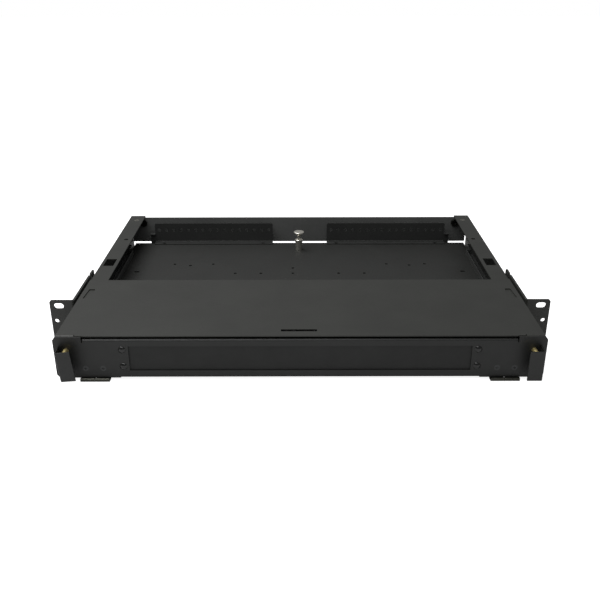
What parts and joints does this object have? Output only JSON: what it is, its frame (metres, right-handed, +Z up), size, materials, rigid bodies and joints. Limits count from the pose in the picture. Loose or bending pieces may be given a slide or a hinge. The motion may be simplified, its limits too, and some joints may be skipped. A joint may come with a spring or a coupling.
{
  "type": "fiber termination box",
  "caption": "Rack-mount fibre termination box in black sheet steel with a sliding tray, a fold-down front door on latches, a short front cover, an open rear half and rack ears.",
  "frame": {"origin": "centre of the footprint, on the plane that the housing rests on", "axes": "+X to the right seen from the front, +Y towards the open rear, +Z up"},
  "size_m": [0.4826, 0.3524, 0.0444],
  "materials": {
    "black_powder_coat": "fine textured matt powder coat",
    "black_oxide_steel": "black oxide, satin",
    "zinc_steel": "zinc plated, satin",
    "nickel_plate": "polished nickel plate",
    "spring_steel": "bright drawn wire",
    "brass": "turned",
    "black_nylon": "glossy moulded nylon",
    "adapter_plastic": "moulded",
    "cap_plastic": "moulded, soft"
  },
  "bodies": {
    "housing": {"housing_shell": "black_powder_coat", "front_cover": "black_powder_coat", "rear_wall": "black_powder_coat", "rear_wall_bolts": "black_oxide_steel", "flange_screws": "black_oxide_steel", "rack_ear_left": "black_powder_coat", "rack_ear_right": "black_powder_coat", "ear_screws": "black_oxide_steel", "ear_spacers": "zinc_steel", "slide_rail_left": "black_powder_coat", "slide_rail_right": "black_powder_coat", "rail_rivets": "zinc_steel", "latch_bushes": "black_nylon"},
    "tray": {"tray_pan": "black_powder_coat", "tray_runner_left": "black_powder_coat", "tray_runner_right": "black_powder_coat", "runner_rivets": "zinc_steel", "lacing_bar_left": "black_powder_coat", "lacing_bar_right": "black_powder_coat", "lacing_screws": "black_oxide_steel", "plunger_barrel": "nickel_plate", "plunger_nut": "nickel_plate", "plunger_spring": "spring_steel", "adapter_bulkhead": "black_powder_coat", "bulkhead_rivets": "zinc_steel", "adapter_plate_left": "black_powder_coat", "adapter_plate_middle": "black_powder_coat", "adapter_plate_right": "black_powder_coat", "plate_rivets": "black_nylon", "adapters_left": "adapter_plastic", "adapters_middle": "adapter_plastic", "adapters_right": "adapter_plastic", "dust_caps": "cap_plastic", "hinge_frame_leaf_left": "zinc_steel", "hinge_frame_leaf_right": "zinc_steel", "hinge_pins": "zinc_steel", "frame_leaf_rivets": "zinc_steel"},
    "plunger": {"plunger_pin": "nickel_plate", "plunger_knob": "nickel_plate"},
    "door": {"door_panel": "black_powder_coat", "window_plate": "black_powder_coat", "window_rivets": "black_nylon", "hinge_door_leaf_left": "zinc_steel", "hinge_door_leaf_right": "zinc_steel", "door_hinge_screws": "black_oxide_steel", "latch_barrel_left": "brass", "latch_barrel_right": "brass", "latch_spring_left": "spring_steel", "latch_spring_right": "spring_steel"},
    "latch_left": {"pull_tab_left": "black_powder_coat", "latch_pin_left": "brass"},
    "latch_right": {"pull_tab_right": "black_powder_coat", "latch_pin_right": "brass"}
  },
  "joints": [
    {"name": "tray_slide", "type": "slide", "parent": "housing", "child": "tray", "axis": [0, -1, 0], "range_m": [0, 0.18]},
    {"name": "door_hinge", "type": "hinge", "parent": "tray", "child": "door", "pos_m": [0, -0.16585, 0.00185], "axis": [1, 0, 0], "range_deg": [0, 95]},
    {"name": "latch_pull_left", "type": "slide", "parent": "door", "child": "latch_left", "axis": [0, -1, 0], "range_m": [0, 0.004], "stiffness_N_per_m": 400, "springref_m": -0.004, "deforming": ["latch_spring_left"]},
    {"name": "latch_pull_right", "type": "slide", "parent": "door", "child": "latch_right", "axis": [0, -1, 0], "range_m": [0, 0.004], "stiffness_N_per_m": 400, "springref_m": -0.004, "deforming": ["latch_spring_right"]},
    {"name": "plunger_lift", "type": "slide", "parent": "tray", "child": "plunger", "axis": [0, 0, 1], "range_m": [0, 0.005], "stiffness_N_per_m": 600, "springref_m": -0.004, "deforming": ["plunger_spring"]}
  ]
}
